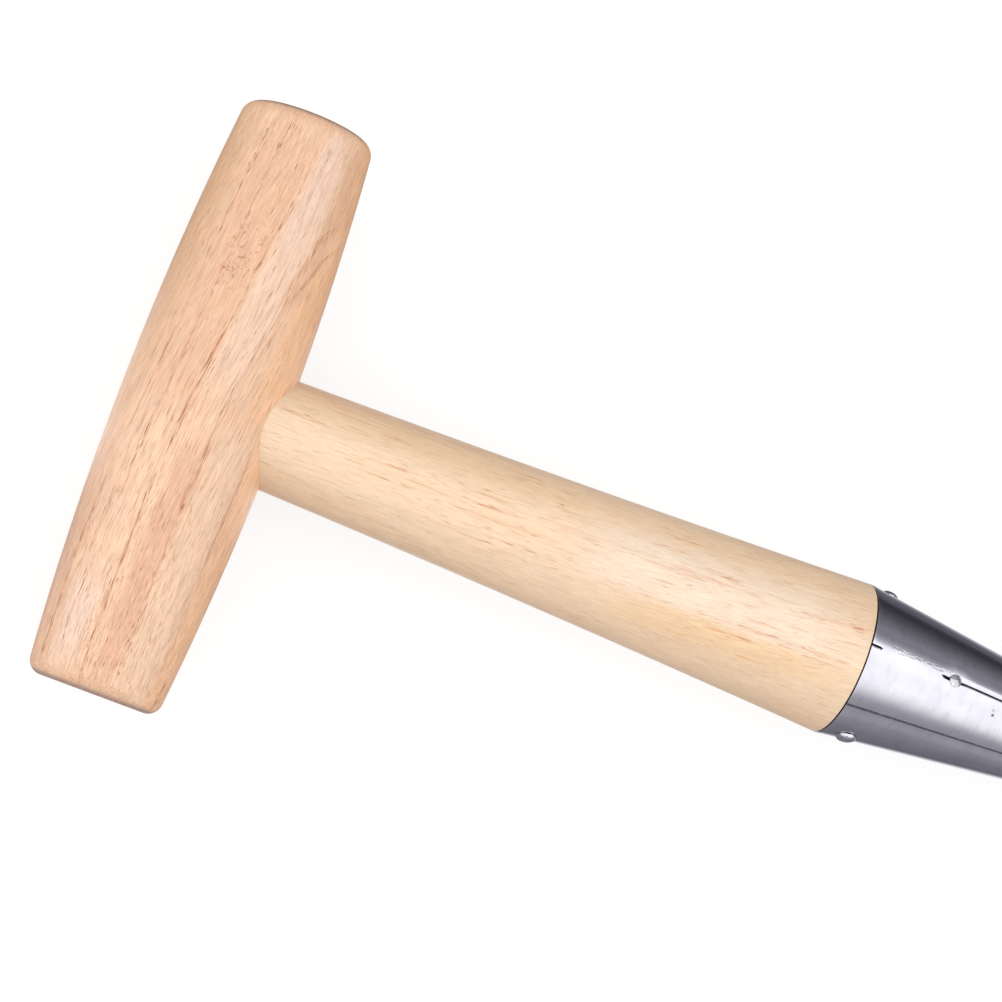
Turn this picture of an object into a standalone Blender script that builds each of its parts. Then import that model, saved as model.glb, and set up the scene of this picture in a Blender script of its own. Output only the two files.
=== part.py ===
# Garden widger: a T-handled wooden dibber with a rolled steel point.
#
# The tool lies on its side, the way it is put down on a bench. +X runs from the crossbar to
# the steel point, +Y along the crossbar and +Z up. The origin is on the bench, under the
# middle of the tool's bounding box. All lengths are in metres.
#
# How the real tool goes together: the stem's parallel top end is glued into a blind socket
# in the crossbar. Its lower end is turned down by the thickness of the sheet, so the steel
# comes out flush with the wood. The sheet is rolled into a cone whose two edges meet in an
# open seam, and welded shut only at the point. Three dome-headed nails hold it: two on
# opposite sides near the rim, and one through the seam, whose head keeps both edges down.

import math

import bmesh
import bpy
from mathutils import Matrix, Vector

# Crossbar: a barrel turned about its own length
GRIP_LENGTH = 0.1200
GRIP_BELLY_RADIUS = 0.01615
GRIP_END_DROP = 0.00283         # how much less the radius is at the ends than at the belly
GRIP_EDGE_ROUND = 0.0030
SOCKET_BACK = 0.0078            # wood left behind the socket that the stem goes into

# Stem: parallel inside the crossbar, then a slightly hollow taper out to the steel
STEM_LENGTH = 0.13965           # from the crossbar's axis to the shoulder that meets the steel
STEM_TOP_RADIUS = 0.01138
STEM_RIM_RADIUS = 0.01603
STEM_HOLLOW = 0.00042           # how far the taper dips below a straight line
STEM_TOP_CHAMFER = 0.0010
STEM_RIM_CHAMFER = 0.0003
NOSE_EDGE_ROUND = 0.0015

# Steel point: sheet rolled into a cone
CONE_LENGTH = 0.1240            # from the rim to the point
SHEET_THICKNESS = 0.0010
SHEET_PROUD = 0.00006           # how far the sheet stands above the wood at the rim
TIP_RADIUS = 0.0020
WELD_LENGTH = 0.0120            # the point that is filled with weld
WELD_RUN_IN = 0.0010            # weld that bridges the seam ahead of the filled point
SEAM_GAP = 0.0004
SEAM_TURN = math.radians(11.2)  # angles round the stem go from straight up towards +Y
HOLLOW_LENGTH = 0.0320          # space left between the stem's nose and the weld

# Nails
NAIL_HEAD_RADIUS = 0.0021
NAIL_HEAD_HEIGHT = 0.0009
NAIL_HEAD_EDGE = 0.0002         # straight edge of the head, under its dome
NAIL_SHANK_RADIUS = 0.0009
NAIL_LENGTH = 0.0110            # from under the head to the point
NAIL_POINT = 0.0024
SEAM_NAIL_SETBACK = 0.0191      # distances back from the steel's rim
RIM_NAIL_LEFT_SETBACK = 0.0063
RIM_NAIL_RIGHT_SETBACK = 0.0055
RIM_NAIL_TURN = math.radians(86.4)  # from the seam, one nail to each side

# Clearances that keep one piece's faces off the next one's
GLUE_GAP = 0.0003
RIM_GAP = 0.0003
NOSE_GAP = 0.0003
NAIL_SEAT_GAP = 0.0003
NAIL_HOLE_GAP = 0.0003
CUTTER_MARGIN = 0.0020          # how far a cutter reaches past the face that it opens

# How finely the curves are divided
LATHE_STEPS = 72
NAIL_STEPS = 24
BARREL_STEPS = 16
TAPER_STEPS = 10
ROUND_STEPS = 4
MERGE_DISTANCE = 1e-6
SMOOTH_ANGLE = math.radians(32)

# Colours as (red, green, blue), with roughness and metallic
FINISHES = {
    "crossbar_wood": ((0.62, 0.41, 0.27), 0.55, 0.0),
    "stem_wood": ((0.78, 0.58, 0.38), 0.55, 0.0),
    "brushed_steel": ((0.50, 0.50, 0.53), 0.32, 1.0),
    "nail_steel": ((0.42, 0.42, 0.44), 0.28, 1.0),
}

# Sizes that follow from the ones above
CONE_RIM_RADIUS = STEM_RIM_RADIUS + SHEET_PROUD
CONE_START = STEM_LENGTH + RIM_GAP
TOOL_LENGTH = GRIP_BELLY_RADIUS + CONE_START + CONE_LENGTH
AXIS_HEIGHT = max(GRIP_BELLY_RADIUS, CONE_RIM_RADIUS)
SOCKET_FLOOR = SOCKET_BACK - GRIP_BELLY_RADIUS
SOCKET_RADIUS = STEM_TOP_RADIUS + GLUE_GAP
NOSE_LENGTH = CONE_LENGTH - WELD_LENGTH - HOLLOW_LENGTH

# The side of the cone touches the ball that rounds its point, which fixes its half angle
BALL_DISTANCE = CONE_LENGTH - TIP_RADIUS
HALF_ANGLE = math.atan2(CONE_RIM_RADIUS, BALL_DISTANCE) - math.asin(
    TIP_RADIUS / math.hypot(CONE_RIM_RADIUS, BALL_DISTANCE))


def cone_outside(setback):
    """Radius of the sheet's outer face at a distance back from the rim."""
    return CONE_RIM_RADIUS - setback * math.tan(HALF_ANGLE)


def cone_inside(setback):
    """Radius of the sheet's inner face."""
    return cone_outside(setback) - SHEET_THICKNESS / math.cos(HALF_ANGLE)


def nose_outside(setback):
    """Radius of the stem's nose, which lies parallel to the sheet's inner face."""
    return cone_inside(setback) - NOSE_GAP / math.cos(HALF_ANGLE)


def arc(centre, radius, start, end, steps):
    """Points of a circle in the plane of a profile, both ends included."""
    turns = [start + (end - start) * step / steps for step in range(steps + 1)]
    return [(centre[0] + radius * math.cos(turn), centre[1] + radius * math.sin(turn))
            for turn in turns]


# Profiles are lists of (radius, height) points, from one end of the lathe axis to the other

def crossbar_profile():
    """One long arc from end to end, with rounded edges that touch it and the flat ends."""
    half = GRIP_LENGTH / 2
    sweep = (half ** 2 + GRIP_END_DROP ** 2) / (2 * GRIP_END_DROP)
    sweep_centre = GRIP_BELLY_RADIUS - sweep
    edge_height = half - GRIP_EDGE_ROUND
    edge_reach = math.sqrt((sweep - GRIP_EDGE_ROUND) ** 2 - edge_height ** 2)
    touch = math.atan2(edge_height, edge_reach)
    edge = arc((sweep_centre + edge_reach, edge_height), GRIP_EDGE_ROUND,
               math.pi / 2, touch, ROUND_STEPS)
    belly = arc((sweep_centre, 0.0), sweep, touch, -touch, BARREL_STEPS)
    other_edge = [(radius, -height) for radius, height in reversed(edge)]
    return [(0.0, half), *edge, *belly[1:-1], *other_edge, (0.0, -half)]


def hollow_taper(start, end, dip, steps):
    """A line between two profile points that sags towards the axis in its middle."""
    points = []
    for step in range(steps + 1):
        share = step / steps
        radius = start[0] + (end[0] - start[0]) * share - 4 * dip * share * (1 - share)
        points.append((radius, start[1] + (end[1] - start[1]) * share))
    return points


def stem_profile():
    """Socket end, hollow taper, shoulder at the steel and the nose inside it."""
    top = SOCKET_FLOOR + GLUE_GAP
    nose_end = STEM_LENGTH + NOSE_LENGTH
    round_height = nose_end - NOSE_EDGE_ROUND
    round_centre = (nose_outside(round_height - CONE_START)
                    - NOSE_EDGE_ROUND / math.cos(HALF_ANGLE))
    taper = hollow_taper((STEM_TOP_RADIUS, GRIP_BELLY_RADIUS),
                         (STEM_RIM_RADIUS, STEM_LENGTH - STEM_RIM_CHAMFER),
                         STEM_HOLLOW, TAPER_STEPS)
    nose = arc((round_centre, round_height), NOSE_EDGE_ROUND,
               HALF_ANGLE, math.pi / 2, ROUND_STEPS)
    return [
        (0.0, top),
        (STEM_TOP_RADIUS - STEM_TOP_CHAMFER, top),
        (STEM_TOP_RADIUS, top + STEM_TOP_CHAMFER),
        *taper,
        (STEM_RIM_RADIUS - STEM_RIM_CHAMFER, STEM_LENGTH),
        (nose_outside(STEM_LENGTH - CONE_START), STEM_LENGTH),
        *nose,
        (0.0, nose_end),
    ]


def cone_profile():
    """The sheet from the bottom of its hollow out to the rim, and down to the round point."""
    hollow_end = CONE_LENGTH - WELD_LENGTH
    ball = arc((0.0, BALL_DISTANCE), TIP_RADIUS, HALF_ANGLE, math.pi / 2, ROUND_STEPS)
    return [
        (0.0, hollow_end),
        (cone_inside(hollow_end), hollow_end),
        (cone_inside(0.0), 0.0),
        (CONE_RIM_RADIUS, 0.0),
        *ball[:-1],
        (0.0, CONE_LENGTH),
    ]


def nail_profile():
    """A domed head over a straight edge, a round shank and a tapered point."""
    underside = NAIL_SEAT_GAP
    dome_edge = underside + NAIL_HEAD_EDGE
    top = underside + NAIL_HEAD_HEIGHT
    rise = top - dome_edge
    dome = (NAIL_HEAD_RADIUS ** 2 + rise ** 2) / (2 * rise)
    edge_turn = math.asin((dome - rise) / dome)
    cap = arc((0.0, top - dome), dome, math.pi / 2, edge_turn, ROUND_STEPS)
    return [
        (0.0, top),
        *cap[1:],
        (NAIL_HEAD_RADIUS, underside),
        (NAIL_SHANK_RADIUS, underside),
        (NAIL_SHANK_RADIUS, underside - NAIL_LENGTH + NAIL_POINT),
        (0.0, underside - NAIL_LENGTH),
    ]


def nail_hole_profile():
    """The hole that a nail sits in, through the sheet and down into the wood."""
    radius = NAIL_SHANK_RADIUS + NAIL_HOLE_GAP
    end = NAIL_SEAT_GAP - NAIL_LENGTH - NAIL_HOLE_GAP
    return [(0.0, CUTTER_MARGIN), (radius, CUTTER_MARGIN), (radius, end + NAIL_POINT), (0.0, end)]


def socket_profile():
    """The blind bore in the crossbar's side."""
    mouth = GRIP_BELLY_RADIUS + CUTTER_MARGIN
    return [(0.0, SOCKET_FLOOR), (SOCKET_RADIUS, SOCKET_FLOOR), (SOCKET_RADIUS, mouth),
            (0.0, mouth)]


def new_object(name, shape, finish=None):
    """Turns a bmesh into an object of the tool, smooth but for its real edges."""
    bmesh.ops.recalc_face_normals(shape, faces=shape.faces)
    mesh = bpy.data.meshes.new(name)
    shape.to_mesh(mesh)
    shape.free()
    mesh.shade_smooth()
    mesh.set_sharp_from_angle(angle=SMOOTH_ANGLE)
    if finish:
        mesh.materials.append(finish)
    piece = bpy.data.objects.new(name, mesh)
    bpy.context.collection.objects.link(piece)
    return piece


def turned(name, profile, steps, finish=None):
    """Spins a profile about Z into one closed body."""
    shape = bmesh.new()
    corners = [shape.verts.new((radius, 0.0, height)) for radius, height in profile]
    lines = [shape.edges.new(pair) for pair in zip(corners, corners[1:])]
    bmesh.ops.spin(shape, geom=corners + lines, cent=(0.0, 0.0, 0.0), axis=(0.0, 0.0, 1.0),
                   angle=math.tau, steps=steps, use_merge=True)
    bmesh.ops.remove_doubles(shape, verts=shape.verts, dist=MERGE_DISTANCE)
    return new_object(name, shape, finish)


def block(name, low, high):
    """A plain box between two corners."""
    shape = bmesh.new()
    size = Vector(high) - Vector(low)
    centre = (Vector(high) + Vector(low)) / 2
    bmesh.ops.create_cube(shape, size=1.0, matrix=Matrix.Translation(centre)
                          @ Matrix.Diagonal(size).to_4x4())
    return new_object(name, shape)


def cut(body, cutter):
    """Takes a cutter's shape out of a body, and marks the cutter as not part of the tool."""
    step = body.modifiers.new(cutter.name, "BOOLEAN")
    step.operation = "DIFFERENCE"
    step.solver = "EXACT"
    step.object = cutter
    cutter.hide_render = True
    cutter.display_type = "WIRE"


def place(piece, matrix, frame):
    """Hangs a piece on the tool's frame, at a place given in that frame."""
    piece.parent = frame
    piece.matrix_local = matrix


def on_cone(setback, turn):
    """A place on the sheet's outer face, with +Z straight out of the face."""
    return (Matrix.Rotation(-turn, 4, "X")
            @ Matrix.Translation((CONE_START + setback, 0.0, cone_outside(setback)))
            @ Matrix.Rotation(HALF_ANGLE, 4, "Y"))


def make_finishes():
    """One Principled material for each finish."""
    finishes = {}
    for name, (colour, roughness, metallic) in FINISHES.items():
        finish = bpy.data.materials.new(name)
        finish.use_nodes = True
        shader = finish.node_tree.nodes["Principled BSDF"]
        shader.inputs["Base Color"].default_value = (*colour, 1.0)
        shader.inputs["Roughness"].default_value = roughness
        shader.inputs["Metallic"].default_value = metallic
        finish.diffuse_color = (*colour, 1.0)
        finishes[name] = finish
    return finishes


def make_frame():
    """An empty where the crossbar's axis meets the stem's, at the height where the tool lies."""
    frame = bpy.data.objects.new("widger_frame", None)
    frame.location = (GRIP_BELLY_RADIUS - TOOL_LENGTH / 2, 0.0, AXIS_HEIGHT)
    bpy.context.collection.objects.link(frame)
    return frame


def make_woodwork(finishes, frame):
    """The crossbar with its socket, and the stem that is glued into it."""
    along_stem = Matrix.Rotation(math.pi / 2, 4, "Y")
    crossbar = turned("crossbar", crossbar_profile(), LATHE_STEPS, finishes["crossbar_wood"])
    place(crossbar, Matrix.Rotation(-math.pi / 2, 4, "X"), frame)
    socket = turned("socket_cutter", socket_profile(), LATHE_STEPS)
    place(socket, along_stem, frame)
    cut(crossbar, socket)
    shaft = turned("shaft", stem_profile(), LATHE_STEPS, finishes["stem_wood"])
    place(shaft, along_stem, frame)
    return shaft


def make_cone(finishes, frame):
    """The rolled sheet, with the seam left open from its rim to the weld."""
    cone = turned("steel_cone", cone_profile(), LATHE_STEPS, finishes["brushed_steel"])
    start = Matrix.Translation((CONE_START, 0.0, 0.0))
    place(cone, start @ Matrix.Rotation(math.pi / 2, 4, "Y"), frame)
    seam_end = CONE_LENGTH - WELD_LENGTH - WELD_RUN_IN
    seam = block("seam_cutter", (-CUTTER_MARGIN, -SEAM_GAP / 2, 0.0),
                 (seam_end, SEAM_GAP / 2, CONE_RIM_RADIUS + CUTTER_MARGIN))
    place(seam, start @ Matrix.Rotation(-SEAM_TURN, 4, "X"), frame)
    cut(cone, seam)
    return cone


def make_nails(finishes, frame, pierced):
    """The nails, each in a hole through every piece that it pierces."""
    nails = {
        "seam_nail": (SEAM_NAIL_SETBACK, SEAM_TURN),
        "rim_nail_left": (RIM_NAIL_LEFT_SETBACK, SEAM_TURN + RIM_NAIL_TURN),
        "rim_nail_right": (RIM_NAIL_RIGHT_SETBACK, SEAM_TURN - RIM_NAIL_TURN),
    }
    for name, (setback, turn) in nails.items():
        seat = on_cone(setback, turn)
        place(turned(name, nail_profile(), NAIL_STEPS, finishes["nail_steel"]), seat, frame)
        hole = turned(name + "_cutter", nail_hole_profile(), NAIL_STEPS)
        place(hole, seat, frame)
        for piece in pierced:
            cut(piece, hole)


def main():
    for item in list(bpy.data.objects):
        bpy.data.objects.remove(item)
    finishes = make_finishes()
    frame = make_frame()
    shaft = make_woodwork(finishes, frame)
    cone = make_cone(finishes, frame)
    make_nails(finishes, frame, (shaft, cone))
    bpy.context.view_layer.update()


main()
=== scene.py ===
# %% [markdown]
# # A garden widger: turned wood, rolled steel and three nails
#
# A widger, or dibber, makes holes for seedlings. This one has a barrel-shaped crossbar for the
# palm, a tapering stem glued into its side, and a steel point that is nailed over the stem's end.
#
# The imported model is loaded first. It fixes every size and place, and the looks are built round
# it: each piece is turned or rolled again with a finer surface, and gets a finish made of nodes.

import math

import bpy
from mathutils import Matrix, Vector


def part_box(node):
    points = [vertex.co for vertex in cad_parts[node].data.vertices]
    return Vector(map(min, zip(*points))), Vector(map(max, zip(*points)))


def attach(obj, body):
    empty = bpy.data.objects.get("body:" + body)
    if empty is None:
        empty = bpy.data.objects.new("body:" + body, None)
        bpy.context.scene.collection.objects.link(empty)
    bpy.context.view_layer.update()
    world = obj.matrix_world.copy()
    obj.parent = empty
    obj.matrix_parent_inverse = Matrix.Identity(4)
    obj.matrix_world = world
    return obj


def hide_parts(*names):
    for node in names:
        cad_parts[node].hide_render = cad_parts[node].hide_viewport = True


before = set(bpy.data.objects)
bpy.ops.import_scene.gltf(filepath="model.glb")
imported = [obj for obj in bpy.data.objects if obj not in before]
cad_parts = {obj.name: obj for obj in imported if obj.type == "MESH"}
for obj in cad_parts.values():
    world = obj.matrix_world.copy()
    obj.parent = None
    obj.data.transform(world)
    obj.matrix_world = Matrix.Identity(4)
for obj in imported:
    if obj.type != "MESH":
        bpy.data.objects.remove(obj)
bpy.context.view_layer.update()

# %% [markdown]
# ## Where things are
#
# The tool lies on its side. +X runs from the crossbar to the point, +Y along the crossbar and +Z
# up. The crossbar's box gives the height of both axes, because the barrel rests on its belly.
# Everything that can be read from the frame is read from it, so nothing has to be fitted later.

# %% Sizes read from the frame
MM = 0.001

grip_low, grip_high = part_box("crossbar")
cone_low, cone_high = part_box("steel_cone")
stem_nose_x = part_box("shaft")[1].x

AXIS_HEIGHT = (grip_low.z + grip_high.z) / 2
GRIP_BELLY_RADIUS = (grip_high.z - grip_low.z) / 2
GRIP_LENGTH = grip_high.y - grip_low.y
GRIP_X = grip_low.x + GRIP_BELLY_RADIUS
CONE_RIM_X = cone_low.x
CONE_LENGTH = cone_high.x - cone_low.x
CONE_RIM_RADIUS = (cone_high.z - cone_low.z) / 2

GRIP_CENTRE = Vector((GRIP_X, 0.0, AXIS_HEIGHT))
RIM_CENTRE = Vector((CONE_RIM_X, 0.0, AXIS_HEIGHT))
print("crossbar axis at x", round(GRIP_X / MM, 2), "mm")
print("steel rim at x", round(CONE_RIM_X / MM, 2), "mm, its radius", round(CONE_RIM_RADIUS / MM, 2),
      "mm, the steel's length", round(CONE_LENGTH / MM, 2), "mm")

# %% [markdown]
# ## The camera
#
# The photograph looks down on the tool from above the crossbar, with a long lens, and the tool
# runs out of the picture towards the lower right. The camera comes first, because every later
# choice is judged through it. It is given as a place, a point that it aims at and which way is up.

# %% Camera
CAMERA_FROM_GRIP = Vector((-55.0, -60.1, 617.5)) * MM
AIM_FROM_GRIP = Vector((62.33, 4.17, 0.0)) * MM
CAMERA_UP = Vector((-0.3614, 0.9320, 0.0282))
LENS_MM = 113.94


def add_camera(place, aim, up, lens):
    """A camera at a place, looking at a point, with a chosen direction up in the picture."""
    forward = (aim - place).normalized()
    right = forward.cross(up).normalized()
    rows = Matrix((right, right.cross(forward), -forward))
    data = bpy.data.cameras.new("photo_camera")
    data.lens = lens
    camera = bpy.data.objects.new("photo_camera", data)
    camera.matrix_world = Matrix.Translation(place) @ rows.transposed().to_4x4()
    bpy.context.scene.collection.objects.link(camera)
    bpy.context.scene.camera = camera
    return camera


camera = add_camera(GRIP_CENTRE + CAMERA_FROM_GRIP, GRIP_CENTRE + AIM_FROM_GRIP, CAMERA_UP, LENS_MM)
print("camera height above the bench", round(camera.matrix_world.translation.z, 3), "m")

# %% [markdown]
# ## A lathe
#
# The crossbar, the stem and the nails are all turned, so one helper stands for the lathe. It
# starts from a plane merged down to a single vertex, extrudes that vertex along a profile, and
# spins the line about the work's axis. The profile is a list of (radius, height) points, and the
# seat is the matrix that carries the lathe's Z axis to where the piece lies on the tool.

# %% Lathe
MERGE_WITHIN = 1e-6
SMOOTH_TO = 30.0
UP = Vector((0.0, 0.0, 1.0))


def select_only(piece):
    """Makes a piece the one that operators act on."""
    bpy.ops.object.select_all(action="DESELECT")
    piece.select_set(True)
    bpy.context.view_layer.objects.active = piece


def open_mesh(piece):
    """Opens a piece for editing with all of it selected."""
    select_only(piece)
    bpy.ops.object.mode_set(mode="EDIT")
    bpy.ops.mesh.select_all(action="SELECT")


def close_mesh():
    """Ends the editing."""
    bpy.ops.object.mode_set(mode="OBJECT")


def settle():
    """Carries the selected object's place, turn and scale over into its mesh."""
    bpy.ops.object.transform_apply(location=True, rotation=True, scale=True)


def tidy_mesh(piece, angle=SMOOTH_TO):
    """Closes doubled points, faces the surface outwards and shades it smooth but for its edges."""
    open_mesh(piece)
    bpy.ops.mesh.remove_doubles(threshold=MERGE_WITHIN)
    bpy.ops.mesh.normals_make_consistent(inside=False)
    close_mesh()
    settle()
    bpy.ops.object.shade_smooth_by_angle(angle=math.radians(angle))


def draw_line(name, points):
    """A plane merged down to one vertex, which is then extruded from point to point."""
    bpy.ops.object.select_all(action="DESELECT")
    bpy.ops.mesh.primitive_plane_add(size=MM, location=points[0])
    piece = bpy.context.object
    piece.name = piece.data.name = name
    bpy.ops.object.mode_set(mode="EDIT")
    bpy.ops.mesh.merge(type="CENTER")
    for start, end in zip(points, points[1:]):
        bpy.ops.mesh.extrude_region_move(TRANSFORM_OT_translate={"value": end - start})
    close_mesh()
    return piece


def spin_line(piece, centre, axis, steps, angle=math.tau):
    """Sweeps a drawn line round an axis."""
    select_only(piece)
    settle()
    open_mesh(piece)
    bpy.ops.mesh.spin(steps=steps, angle=angle, center=centre, axis=axis)
    close_mesh()


def lathe(name, profile, seat, steps):
    """Turns a profile about the seat's Z axis."""
    piece = draw_line(name, [seat @ Vector((radius, 0.0, height)) for radius, height in profile])
    spin_line(piece, seat.translation, seat.to_3x3() @ UP, steps)
    tidy_mesh(piece)
    return piece


def arc(centre, radius, start, end, steps):
    """Points of a circle in the plane of a profile, both ends included."""
    turns = [start + (end - start) * part / steps for part in range(steps + 1)]
    return [(centre[0] + radius * math.cos(turn), centre[1] + radius * math.sin(turn))
            for turn in turns]


def modify(piece, kind, **settings):
    """Gives a piece a modifier, and applies it for good."""
    select_only(piece)
    change = piece.modifiers.new(kind.lower(), kind)
    for setting, choice in settings.items():
        setattr(change, setting, choice)
    bpy.ops.object.modifier_apply(modifier=change.name)


def cut_away(piece, cutter):
    """Takes one shape out of another, and throws the cutter away."""
    modify(piece, "BOOLEAN", operation="DIFFERENCE", solver="EXACT", object=cutter)
    bpy.data.objects.remove(cutter)


# %% [markdown]
# ## The crossbar
#
# The grip is a barrel: one long arc from end to end, so it swells under the palm. Its ends are
# sawn flat and their edges sanded round. The small arc of the edge touches both the long arc and
# the flat end, which is what makes it look turned and not bevelled. A blind hole in its side takes
# the stem, cut with a cylinder only a hair wider than the stem, because the joint is glued tight.

# %% Crossbar shape
GRIP_END_DROP = 2.83 * MM
GRIP_EDGE_ROUND = 3.0 * MM
SOCKET_BACK = 7.8 * MM
GLUE_LINE = 0.04 * MM
STEM_TOP_RADIUS = 11.38 * MM
WOOD_STEPS = 160
LONG_ARC_STEPS = 60
GRIP_EDGE_STEPS = 10
FACING_X = (0.0, math.pi / 2, 0.0)

ALONG_GRIP = Matrix.Translation(GRIP_CENTRE) @ Matrix.Rotation(-math.pi / 2, 4, "X")
ALONG_STEM = Matrix.Translation(GRIP_CENTRE) @ Matrix.Rotation(math.pi / 2, 4, "Y")


def crossbar_profile():
    """One long arc with rounded edges that touch it and the flat ends."""
    half = GRIP_LENGTH / 2
    sweep = (half ** 2 + GRIP_END_DROP ** 2) / (2 * GRIP_END_DROP)
    sweep_centre = GRIP_BELLY_RADIUS - sweep
    edge_height = half - GRIP_EDGE_ROUND
    edge_reach = math.sqrt((sweep - GRIP_EDGE_ROUND) ** 2 - edge_height ** 2)
    touch = math.atan2(edge_height, edge_reach)
    edge = arc((sweep_centre + edge_reach, edge_height), GRIP_EDGE_ROUND, math.pi / 2, touch,
               GRIP_EDGE_STEPS)
    belly = arc((sweep_centre, 0.0), sweep, touch, -touch, LONG_ARC_STEPS)
    other_edge = [(radius, -height) for radius, height in reversed(edge)]
    return [(0.0, half), *edge, *belly[1:-1], *other_edge, (0.0, -half)]


crossbar = lathe("crossbar_turned", crossbar_profile(), ALONG_GRIP, WOOD_STEPS)
socket_floor = SOCKET_BACK - GRIP_BELLY_RADIUS
socket_radius = STEM_TOP_RADIUS + GLUE_LINE
socket_mouth = GRIP_BELLY_RADIUS + 2 * MM
bpy.ops.object.select_all(action="DESELECT")
bpy.ops.mesh.primitive_cylinder_add(
    vertices=WOOD_STEPS, radius=socket_radius, depth=socket_mouth - socket_floor,
    location=GRIP_CENTRE + Vector(((socket_mouth + socket_floor) / 2, 0.0, 0.0)),
    rotation=FACING_X)
cut_away(crossbar, bpy.context.object)
tidy_mesh(crossbar)
print("crossbar:", len(crossbar.data.polygons), "faces")

# %% [markdown]
# ## The stem
#
# Inside the crossbar the stem is parallel. From the crossbar's side it swells to the steel along
# a line that is a little hollow, as a gouge leaves it. At the steel it steps down by the thickness
# of the sheet, so the metal comes out flush, and its edge there is broken by a touch of sandpaper.

# %% Stem shape
STEM_RIM_RADIUS = CONE_RIM_RADIUS - 0.06 * MM
STEM_HOLLOW = 0.42 * MM
STEM_RIM_EDGE = 0.25 * MM
STEM_RIM_EDGE_STEPS = 5
STEM_END_BEVEL = 1.0 * MM
RIM_GAP = 0.22 * MM
SHEET_THICKNESS = 1.0 * MM
NOSE_CLEARANCE = 0.45 * MM
TIP_RADIUS = 2.0 * MM

stem_length = CONE_RIM_X - RIM_GAP - GRIP_X
ball_distance = CONE_LENGTH - TIP_RADIUS
HALF_ANGLE = math.atan2(CONE_RIM_RADIUS, ball_distance) - math.asin(
    TIP_RADIUS / math.hypot(CONE_RIM_RADIUS, ball_distance))


def cone_radius(setback, inset=0.0):
    """Radius of the cone at a distance back from its rim, less an inset square to its face."""
    return CONE_RIM_RADIUS - setback * math.tan(HALF_ANGLE) - inset / math.cos(HALF_ANGLE)


def hollow_taper(start, end, dip, steps):
    """A line between two profile points that sags towards the axis in its middle."""
    points = []
    for part in range(steps + 1):
        share = part / steps
        radius = start[0] + (end[0] - start[0]) * share - 4 * dip * share * (1 - share)
        points.append((radius, start[1] + (end[1] - start[1]) * share))
    return points


def stem_profile():
    """Socket end, hollow taper, broken edge, shoulder and the nose inside the steel."""
    top = socket_floor + GLUE_LINE
    nose_end = stem_nose_x - GRIP_X
    nose_inset = SHEET_THICKNESS + NOSE_CLEARANCE
    edge = arc((STEM_RIM_RADIUS - STEM_RIM_EDGE, stem_length - STEM_RIM_EDGE), STEM_RIM_EDGE,
               0.0, math.pi / 2, STEM_RIM_EDGE_STEPS)
    taper = hollow_taper((STEM_TOP_RADIUS, GRIP_BELLY_RADIUS), edge[0], STEM_HOLLOW,
                         LONG_ARC_STEPS)
    return [
        (0.0, top),
        (STEM_TOP_RADIUS - STEM_END_BEVEL, top),
        (STEM_TOP_RADIUS, top + STEM_END_BEVEL),
        *taper,
        *edge[1:],
        (cone_radius(0.0, nose_inset), stem_length),
        (cone_radius(nose_end - stem_length - STEM_END_BEVEL, nose_inset),
         nose_end - STEM_END_BEVEL),
        (cone_radius(nose_end - stem_length, nose_inset) - STEM_END_BEVEL, nose_end),
        (0.0, nose_end),
    ]


stem = lathe("stem_turned", stem_profile(), ALONG_STEM, WOOD_STEPS)
print("stem:", len(stem.data.polygons), "faces, half angle of the steel",
      round(math.degrees(HALF_ANGLE), 2), "degrees")

# %% [markdown]
# ## The steel point
#
# On the bench this is a fan of sheet rolled round a mandrel until its two edges meet. Here a line
# drawn from the rim to the rounded tip is spun almost all the way round, so the seam is a real gap
# between two real edges. Between the rim and the seam's nail the edges are then turned towards
# each other until they meet, and over the last stretch a weld closes them. The near edge gapes a
# little where the nail goes through. Beyond it the far edge curls in, and catches a thin line of
# light. The curl dies away before the weld, or the sheet would fold into itself where it is narrow.

# %% Rolled sheet
SEAM_TURN = 11.7
SEAM_ANGLE = 1.34
SEAM_SHUT_FROM = 2.0 * MM
SEAM_SHUT_TO = 16.4 * MM
SEAM_CURL = (0.11 * MM, 0.04 * MM)
CURL_STEADY_TO = 50.0 * MM
SEAM_GAPE = ((16.7 * MM, 21.9 * MM, 0.50), (17.4 * MM, 21.4 * MM, 0.45))
WELD_LENGTH = 12.0 * MM
SHEET_COLUMNS = 200
FINE_LENGTH = 26.0 * MM
FINE_ROWS = 40
PLAIN_ROWS = 34
TIP_ROWS = 8
ALONG_X = Vector((1.0, 0.0, 0.0))


def on_axis(setback, radius, turn):
    """A point at a distance back from the rim, at an angle from straight up towards +Y."""
    angle = math.radians(turn)
    return RIM_CENTRE + Vector((setback, radius * math.sin(angle), radius * math.cos(angle)))


def outward(turn):
    """The direction straight away from the stem's axis at an angle."""
    return on_axis(0.0, 1.0, turn) - RIM_CENTRE


def setback_of(point):
    """How far a point lies back from the steel's rim towards its tip."""
    return point.x - CONE_RIM_X


def turn_of(point):
    """The angle of a point round the stem's axis, from straight up towards +Y, in degrees."""
    return math.degrees(math.atan2(point.y, point.z - AXIS_HEIGHT))


def sheet_line(turn):
    """The outline of the steel from its rim to the very tip."""
    tangent = ball_distance + TIP_RADIUS * math.sin(HALF_ANGLE)
    setbacks = [FINE_LENGTH * row / FINE_ROWS for row in range(FINE_ROWS)]
    setbacks += [FINE_LENGTH + (tangent - FINE_LENGTH) * row / PLAIN_ROWS
                 for row in range(PLAIN_ROWS)]
    points = [on_axis(setback, cone_radius(setback), turn) for setback in setbacks]
    for height, radius in arc((ball_distance, 0.0), TIP_RADIUS, math.pi / 2 - HALF_ANGLE, 0.0,
                              TIP_ROWS):
        points.append(on_axis(height, radius, turn))
    return points


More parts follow.
